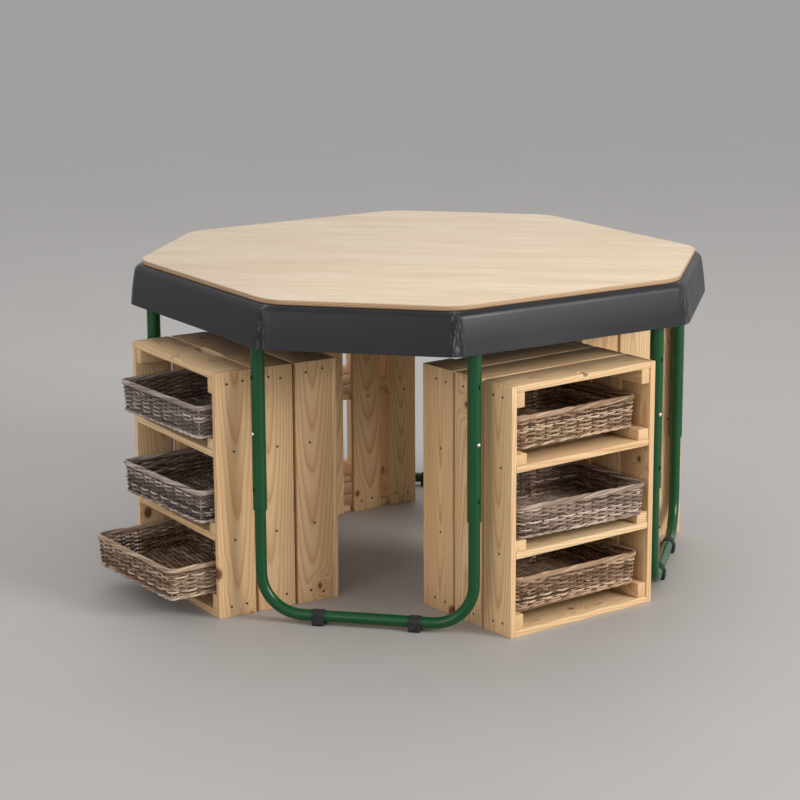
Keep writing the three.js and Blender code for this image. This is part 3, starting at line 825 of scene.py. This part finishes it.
# --- crates
class Crate:
    """A crate's own frame: x runs across the opening, y goes in from it, and z is up."""

    def __init__(self, side):
        slide = next(j for j in frame["joints"] if j["name"] == f"{side}_crate_slide")
        self.inward = -np.array(slide["axis"], float)
        self.across = np.cross(self.inward, UP)
        node = f"{side}_crate_ends_and_back"
        left, right = extent(self.across, node)
        front, back = extent(self.inward, node)
        self.half = (right - left) / 2
        self.depth = back - front
        self.height = extent(UP, node)[1]
        self.origin = self.across * (left + right) / 2 + self.inward * front
        kinds = [kind for kind in SHELVES if f"{side}_crate_{kind}" in frame["nodes"]]
        self.shelves = {kind: extent(UP, f"{side}_crate_{kind}") for kind in kinds}
        self.has_baskets = f"{side}_basket_top" in frame["nodes"]
        shelf = extent(self.across, f"{side}_crate_{kinds[0]}")
        self.inner_half = (shelf[1] - shelf[0]) / 2 + GAP
        self.board = self.half - self.inner_half
        self.inner_depth = self.depth - SLAT - GAP
        self.name = side

    def row(self, points):
        """Points of this crate's frame in the row frame."""
        points = np.asarray(points, float)
        return self.origin + points @ np.array([self.across, self.inward, UP])

    def directions(self, vectors):
        return np.asarray(vectors, float) @ np.array([self.across, self.inward, UP])


def board_rings(length, width, thickness):
    """Rings along a board with rounded edges and slightly uneven sides, middled on the origin."""
    edge = min(BOARD_EDGE, thickness / 4)
    stations = [(-length / 2, edge), (-length / 2 + edge * 0.3, edge * 0.3), (-length / 2 + edge, 0.0)]
    inner = np.linspace(-length / 2, length / 2, 9)[1:-1]
    stations += [(u, 0.0) for u in inner]
    stations += [(-u, inset) for u, inset in stations[2::-1]]
    wobble = rng.normal(0, 0.00018, (len(stations), 2))
    rings = []
    for (u, inset), (dv, dw) in zip(stations, wobble):
        ring = []
        for corner, (sv, sw) in enumerate(((1, 1), (-1, 1), (-1, -1), (1, -1))):
            for turn in (0, 45, 90):
                angle = math.radians(90 * corner + turn)
                v = sv * (width / 2 - edge) + (edge - inset) * math.cos(angle)
                w = sw * (thickness / 2 - edge) + (edge - inset) * math.sin(angle)
                ring.append((u, v + dv, w + dw * 0.3))
        rings.append(ring)
    return np.array(rings)


def add_board(shape, crate, low, high, along, pith=None):
    """A board that fills a box of the crate's frame, its grain running along one of the three axes."""
    low, high = np.asarray(low, float), np.asarray(high, float)
    size = high - low
    others = sorted((axis for axis in range(3) if axis != along), key=lambda axis: -size[axis])
    e_u, e_v = np.eye(3)[along], np.eye(3)[others[0]]
    e_w = np.cross(e_u, e_v)
    rings = board_rings(size[along], size[others[0]], size[others[1]])
    points, faces = skin(rings)
    faces = [block[:, ::-1] for block in faces]
    heart_v = rng.uniform(-0.35, 0.35) * size[others[0]]
    heart_w = rng.choice([-1, 1]) * rng.uniform(0.012, 0.05)
    lean_v, lean_w = rng.normal(0, 0.008), rng.choice([-1, 1]) * rng.uniform(0.02, 0.07)
    grain = np.column_stack([
        points[:, 0] + rng.uniform(0, 60),
        points[:, 1] - heart_v + lean_v * points[:, 0],
        points[:, 2] - heart_w + lean_w * points[:, 0],
    ])
    placed = (low + high) / 2 + points @ np.array([e_u, e_v, e_w])
    tone = np.clip(rng.normal(0.42, 0.24), 0, 1)
    shape.add(crate.row(placed), faces, grain, tone)


def spans(count, length, gap):
    """Where boards laid side by side start and end."""
    wide = (length - (count - 1) * gap) / count
    return [(i * (wide + gap), i * (wide + gap) + wide) for i in range(count)]


def stand_planks(shape, node):
    stands_for(shape.made(f"{node}_planks", PINE), "pine", node)


def crate_wall(crate, hand):
    shape = Shape()
    side = -1 if hand == "left" else 1
    inner, outer = side * (crate.inner_half + GAP), side * crate.half
    x_low, x_high = sorted((inner, outer))
    for start, end in spans(PLANKS, crate.inner_depth, PLANK_GAP):
        add_board(shape, crate, (x_low, start, 0), (x_high, end, crate.height), 2)
    wide, tall = SHELF_CLEAT
    for shelf_low, shelf_top in crate.shelves.values():
        x_low, x_high = sorted((inner - side * GAP, side * (crate.inner_half - wide)))
        base = shelf_top + GAP if crate.has_baskets else shelf_low - tall
        back = crate.inner_depth - CLEAT_INSET
        add_board(shape, crate, (x_low, CLEAT_INSET, base), (x_high, back, base + tall - GAP), 1)
    stand_planks(shape, f"{crate.name}_crate_{hand}_side")


def crate_ends_and_back(crate):
    shape = Shape()
    half = crate.inner_half
    wide, tall = END_CLEAT
    for low in (0, crate.height - crate.board):
        for start, end in spans(PLANKS, crate.inner_depth, PLANK_GAP):
            add_board(shape, crate, (-half, start, low), (half, end, low + crate.board), 0)
    for low in (crate.board, crate.height - crate.board - tall):
        for side in (-1, 1):
            x_low, x_high = sorted((side * (half - GAP), side * (half - wide)))
            top = low + tall - GAP
            add_board(shape, crate, (x_low, CLEAT_INSET, low + GAP / 2), (x_high, crate.inner_depth, top), 1)
    for start, end in spans(BACK_SLATS, 2 * crate.half, SLAT_GAP):
        low = (start - crate.half, crate.depth - SLAT, 0)
        add_board(shape, crate, low, (end - crate.half, crate.depth, crate.height), 2)
    node = f"{crate.name}_crate_ends_and_back"
    piece = shape.made(f"{node}_planks", PINE)
    notch = Shape()
    path = [crate.row([0, y, crate.height]) for y in (-0.02, 0.02)]
    notch.add(*skin(tube_rings(path, NOTCH_RADIUS, 20, UP)[0]))
    cut_out(piece, notch.made("notch", PINE))
    if crate.name in HAND_SLOTS:
        cut_out(piece, hand_slot(crate))
    stands_for(piece, "pine", node)


def hand_slot(crate):
    """A cutter with round ends: a finger slot along the joint of the top's first two planks."""
    joint = spans(PLANKS, crate.inner_depth, PLANK_GAP)[0][1]
    half_long, half_wide = HAND_SLOT[0] / 2 - HAND_SLOT[1] / 2, HAND_SLOT[1] / 2
    angle = np.linspace(-math.pi / 2, math.pi / 2, 9)
    right = np.column_stack([half_long + half_wide * np.cos(angle), half_wide * np.sin(angle)])
    outline = np.concatenate([right, -right])
    rings = [
        crate.row(np.column_stack([outline[:, 0], outline[:, 1] + joint, np.full(len(outline), z)]))
        for z in (crate.height + 0.01, crate.height - 2 * crate.board + 0.008)
    ]
    cutter = Shape()
    cutter.add(*skin(np.array(rings)))
    return cutter.made("slot", PINE)


def crate_shelves(crate):
    gap = SHELF_GAP if crate.has_baskets else PLANK_GAP
    for kind, (low, high) in crate.shelves.items():
        shape = Shape()
        half = crate.inner_half - GAP
        for start, end in spans(PLANKS, crate.inner_depth - GAP, gap):
            add_board(shape, crate, (-half, start, low), (half, end, high), 0)
        stand_planks(shape, f"{crate.name}_crate_{kind}")


def crate_nails(crate):
    """Nail heads: two through each plank's ends, and one at each shelf."""
    shape = Shape()
    rows = [(NAIL_FROM_END[0], (0.3, 0.72)), (crate.height - NAIL_FROM_END[1], (0.3, 0.7))]
    rows += [((low + high) / 2, (0.45,)) for low, high in crate.shelves.values()]
    head = [
        (0.0011, -0.0006), (NAIL_RADIUS, -0.0004), (NAIL_RADIUS, NAIL_PROUD * 0.5), (0.0008, NAIL_PROUD)
    ]

    def nail(point, outward):
        shift = rng.normal(0, NAIL_SCATTER, 3) * (1 - np.abs(outward))
        add_lathe(shape, head, crate.row(point + shift), crate.directions(outward), 12)

    for z, shares in rows:
        for share in shares:
            for start, end in spans(PLANKS, crate.inner_depth, PLANK_GAP):
                y = start + share * (end - start)
                for side in (-1, 1):
                    nail((side * crate.half, y, z), (side, 0, 0))
            for start, end in spans(BACK_SLATS, 2 * crate.half, SLAT_GAP):
                x = start + share * (end - start) - crate.half
                nail((x, crate.depth, z), (0, 1, 0))
    piece = shape.made(f"{crate.name}_crate_nails", NAIL)
    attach(piece, f"{crate.name}_crate")


# --- baskets
def basket_loop(half_x, half_y, corner, spacing):
    """Evenly spaced points of a rounded rectangle, their outward directions and the distance round it."""
    straights = [2 * (half_y - corner), 2 * (half_x - corner)] * 2
    arc = corner * math.pi / 2
    total = sum(straights) + 4 * arc
    count = int(round(total / spacing / 4)) * 4
    s = np.arange(count) * total / count
    points, outward = np.zeros((count, 2)), np.zeros((count, 2))
    start = 0.0
    corners = [(half_x, -half_y), (half_x, half_y), (-half_x, half_y), (-half_x, -half_y)]
    for side in range(4):
        heading = math.pi / 2 * (side + 1)
        along = np.array([math.cos(heading), math.sin(heading)])
        out = np.array([along[1], -along[0]])
        begin = np.array(corners[side]) + along * corner
        straight = (s >= start) & (s < start + straights[side])
        points[straight] = begin + (s[straight, None] - start) * along
        outward[straight] = out
        start += straights[side]
        bend = (s >= start) & (s < start + arc)
        angle = (s[bend] - start) / corner
        centre = begin + along * straights[side] - out * corner
        turn = np.cos(angle)[:, None] * out + np.sin(angle)[:, None] * along
        points[bend] = centre + corner * turn
        outward[bend] = turn
        start += arc
    return points, outward, s / total


def slow_noise(count, waves, size):
    """A smooth closed wobble."""
    t = 2 * math.pi * np.arange(count) / count
    made = sum(
        rng.normal() * np.sin(k * t + rng.uniform(0, 2 * math.pi)) for k in range(1, waves + 1)
    )
    return made / math.sqrt(waves) * size


def rod_tones(count, pieces, middle, spread):
    """A tone for each station of a row that is made of several rods laid end to end."""
    joints = np.sort(rng.integers(0, count, pieces))
    tones = np.clip(rng.normal(middle, spread, pieces), 0.02, 0.98)
    return tones[np.searchsorted(joints, np.arange(count), side="right") % pieces]


def basket_directions(crate, node):
    """The basket's own across and inward directions: it stands a little askew in its crate."""

    def spread(degrees):
        left, right = extent(turned(crate.across, degrees), node)
        return right - left

    skew = min(np.linspace(-6, 6, 121), key=spread)
    return turned(crate.across, skew), turned(crate.inward, skew)


class Basket:
    """A basket's own frame: x across it, y in from the front and z up, from the middle of its base."""

    def __init__(self, crate, level):
        self.node = f"{crate.name}_basket_{level}"
        self.key = f"{crate.name}_{level}"
        self.across, self.inward = basket_directions(crate, self.node)
        left, right = extent(self.across, self.node)
        front, back = extent(self.inward, self.node)
        low, high = extent(UP, self.node)
        self.half_x, self.half_y = (right - left) / 2, (back - front) / 2
        self.centre = self.across * (left + right) / 2 + self.inward * (front + back) / 2 + UP * low
        self.wall_top = high - low - BORDER_HEIGHT
        self.shape = Shape()

    def rod(self, points, radius, sides, reference, tone, closed=False):
        path = self.centre + np.asarray(points) @ np.array([self.across, self.inward, UP])
        add_rod(self.shape, path, radius, sides, reference, tone, closed)

    def inset(self, z):
        """How far the wall's outside lies inside the border's outside."""
        share = min(z / self.wall_top, 1.0)
        return BASKET_TAPER + (BORDER_OVERHANG - BASKET_TAPER) * share

    def loop_at(self, z, depth, spacing):
        back_off = self.inset(z) + depth
        corner = BASKET_CORNER - back_off / 2
        return basket_loop(self.half_x - back_off, self.half_y - back_off, corner, spacing)

    def weave(self):
        """Rows of rods that pass in and out of the stakes."""
        pitch = (self.wall_top - 0.002) / ROWS
        for number in range(ROWS):
            z = FIRST_ROW + pitch * number
            plan, outward, share = self.loop_at(z, WEAVE_DEPTH, 0.0058)
            count = len(plan)
            swing = WEAVE_SWING * np.sin(math.pi * STAKES * share + math.pi * number)
            swing = swing + rng.normal(0, 0.00025, count)
            lift = slow_noise(count, 12, 0.0005) + rng.normal(0, 0.00012, count)
            points = np.column_stack([plan + outward * swing[:, None], z + lift])
            radius = ROD_RADIUS * (1 + slow_noise(count, 9, 0.09))
            self.rod(points, radius, 7, UP, rod_tones(count, 6, 0.5, 0.27), closed=True)

    def stakes(self):
        """Upright stakes, thicker at the corners."""
        middle = self.wall_top / 2
        plan, outward, _ = self.loop_at(middle, WEAVE_DEPTH, 0.0012)
        for k in range(STAKES):
            at = int((k + 0.5) / STAKES * len(plan)) % len(plan)
            foot = plan[at] - outward[at] * (self.inset(0.0) - self.inset(middle))
            head = plan[at] + outward[at] * (self.inset(middle) - self.inset(self.wall_top))
            thick = STAKE_RADIUS * rng.uniform(0.85, 1.15)
            is_corner = 0.1 < abs(outward[at][0]) < 0.995
            thick *= 1.5 if is_corner else 1.0
            points = [(*foot, 0.002), (*plan[at], middle), (*head, self.wall_top + 0.004)]
            self.rod(points, thick, 6, self.across + self.inward, rng.uniform(0.2, 0.5))

    def border(self):
        """The border: rods twisted round each other."""
        plan, outward, share = self.loop_at(self.wall_top, 0.0055 - BORDER_OVERHANG, 0.0040)
        count = len(plan)
        for strand in range(BORDER_STRANDS):
            angle = 2 * math.pi * (BORDER_TURNS * share + strand / BORDER_STRANDS)
            angle = angle + slow_noise(count, 6, 0.3)
            reach = 0.0030 + slow_noise(count, 8, 0.0003)
            z = self.wall_top + 0.0048 + np.sin(angle) * reach
            points = np.column_stack([plan + outward * (np.cos(angle) * reach)[:, None], z])
            radius = 0.0020 * (1 + slow_noise(count, 7, 0.08))
            self.rod(points, radius, 7, UP, rod_tones(count, 5, 0.66, 0.16), closed=True)

    def bottom_edge(self):
        """Two pale rods twisted together round the base."""
        plan, outward, share = self.loop_at(0.0, 0.0012, 0.0050)
        count = len(plan)
        for strand in range(2):
            angle = 2 * math.pi * (22 * share + strand / 2)
            z = 0.0036 + np.sin(angle) * 0.0013
            points = np.column_stack([plan + outward * (np.cos(angle) * 0.0013)[:, None], z])
            self.rod(points, 0.0019, 6, UP, rod_tones(count, 5, 0.72, 0.14), closed=True)

    def floor(self):
        """Rods across, over and under ribs that run front to back."""
        base_x, base_y = self.half_x - BASKET_TAPER - 0.004, self.half_y - BASKET_TAPER - 0.004
        ribs = np.linspace(-base_x + 0.018, base_x - 0.018, 9)
        for x in ribs:
            self.rod([(x, y, FLOOR_LEVEL) for y in (-base_y, 0, base_y)], 0.0019, 6, UP, 0.3)
        rib_pitch = ribs[1] - ribs[0]
        for number, y in enumerate(np.arange(-base_y + 0.003, base_y - 0.001, 0.0052)):
            x = np.linspace(-base_x, base_x, 56)
            z = FLOOR_LEVEL + 0.0017 * np.cos(math.pi * (x - ribs[0]) / rib_pitch + math.pi * number)
            points = np.column_stack([x, y + rng.normal(0, 0.0002, len(x)), z])
            self.rod(points, 0.0023, 6, UP, np.clip(rng.normal(0.48, 0.16), 0, 1))

    def loose_ends(self):
        """Rod ends that stick out of the weave."""
        for _ in range(LOOSE_ENDS):
            z = rng.uniform(0.01, self.wall_top - 0.004)
            plan, outward, _ = self.loop_at(z, 0.001, 0.02)
            at = rng.integers(len(plan))
            heading = np.array([-outward[at][1], outward[at][0]]) * rng.choice([-1, 1])
            tip = plan[at] + heading * rng.uniform(0.006, 0.013) + outward[at] * rng.uniform(0.001, 0.003)
            middle = (plan[at] + tip) / 2
            points = [(*plan[at], z), (*middle, z + 0.0006), (*tip, z + rng.uniform(-0.001, 0.003))]
            self.rod(points, 0.0015, 6, UP, rng.uniform(0.5, 0.95))


def build_basket(crate, level):
    basket = Basket(crate, level)
    for add_part in (
        basket.weave, basket.stakes, basket.border, basket.bottom_edge, basket.floor, basket.loose_ends
    ):
        add_part()
    willow = willow_material(basket.key, WEATHERED[basket.key])
    piece = basket.shape.made(f"{basket.node}_wicker", willow, WICKER_SHARP_ANGLE)
    stands_for(piece, "willow", basket.node)


# --- stage, light and camera
def build_floor():
    bpy.ops.mesh.primitive_plane_add(size=60)
    floor = bpy.context.object
    floor.name = "floor"
    g = Graph("floor", Roughness=0.55)
    pale = g.mix(g.noise(g.place(), 3.0, 4.0), rgb(0.42, 0.397, 0.372), rgb(0.46, 0.436, 0.41))
    floor.data.materials.append(g.finish(Base_Color=pale))


def stationed(name, data, place, right, over, back):
    """A lamp or camera that looks against its back direction, from a place given from the table's middle."""
    holder = bpy.data.objects.new(name, data)
    bpy.context.scene.collection.objects.link(holder)
    axes = np.column_stack([right, over, back, MIDDLE + place])
    holder.matrix_world = Matrix([*axes.tolist(), [0, 0, 0, 1]])
    return holder


def area_light(name, place, target, size, power):
    """A round lamp. Its place and target are given from the table's middle."""
    light = bpy.data.lights.new(name, "AREA")
    light.shape = "DISK"
    light.size = size
    light.energy = power
    back = -unit(np.subtract(target, place))
    right = unit(np.cross(UP, back))
    stationed(name, light, place, right, np.cross(back, right), back)


def build_lights():
    world = bpy.data.worlds.new("studio")
    bpy.context.scene.world = world
    world.use_nodes = True
    background = world.node_tree.nodes["Background"]
    background.inputs["Color"].default_value = rgb(0.86, 0.87, 0.90)
    background.inputs["Strength"].default_value = 0.78
    area_light("key", (2.2, -4.4, 2.3), (0, 0, 0.3), 2.2, 178)
    area_light("fill", (-4.6, -1.6, 1.6), (0, 0, 0.3), 2.6, 34)
    area_light("overhead", (0.8, 1.6, 3.4), (0, 0, 0.4), 3.0, 22)


def build_camera():
    """The viewing angle that the object is shown from: turns in degrees, places in metres."""
    pan, tilt, roll = math.radians(32.6265), math.radians(13.4066), math.radians(-0.2943)
    place = (-2.4363, -3.7288, 1.3674)
    camera = bpy.data.cameras.new("camera")
    camera.sensor_width = 36
    camera.lens = 105.87
    camera.clip_end = 100
    ahead = np.array([math.sin(pan) * math.cos(tilt), math.cos(pan) * math.cos(tilt), -math.sin(tilt)])
    level = np.array([math.cos(pan), -math.sin(pan), 0.0])
    lift = np.cross(level, ahead)
    right = math.cos(roll) * level + math.sin(roll) * lift
    over = np.cross(right, ahead)
    bpy.context.scene.camera = stationed("camera", camera, place, right, over, -ahead)
    bpy.context.scene.view_settings.view_transform = "Standard"


plywood_sheet()
tray_shell()
build_upper_tubes()
build_lower_tubes()
build_buttons()
build_feet()
for side_name in LONG_SIDES:
    crate = Crate(side_name)
    for hand in HANDS:
        crate_wall(crate, hand)
    crate_ends_and_back(crate)
    crate_shelves(crate)
    crate_nails(crate)
    for level in LEVELS if crate.has_baskets else ():
        build_basket(crate, level)
build_floor()
build_lights()
build_camera()
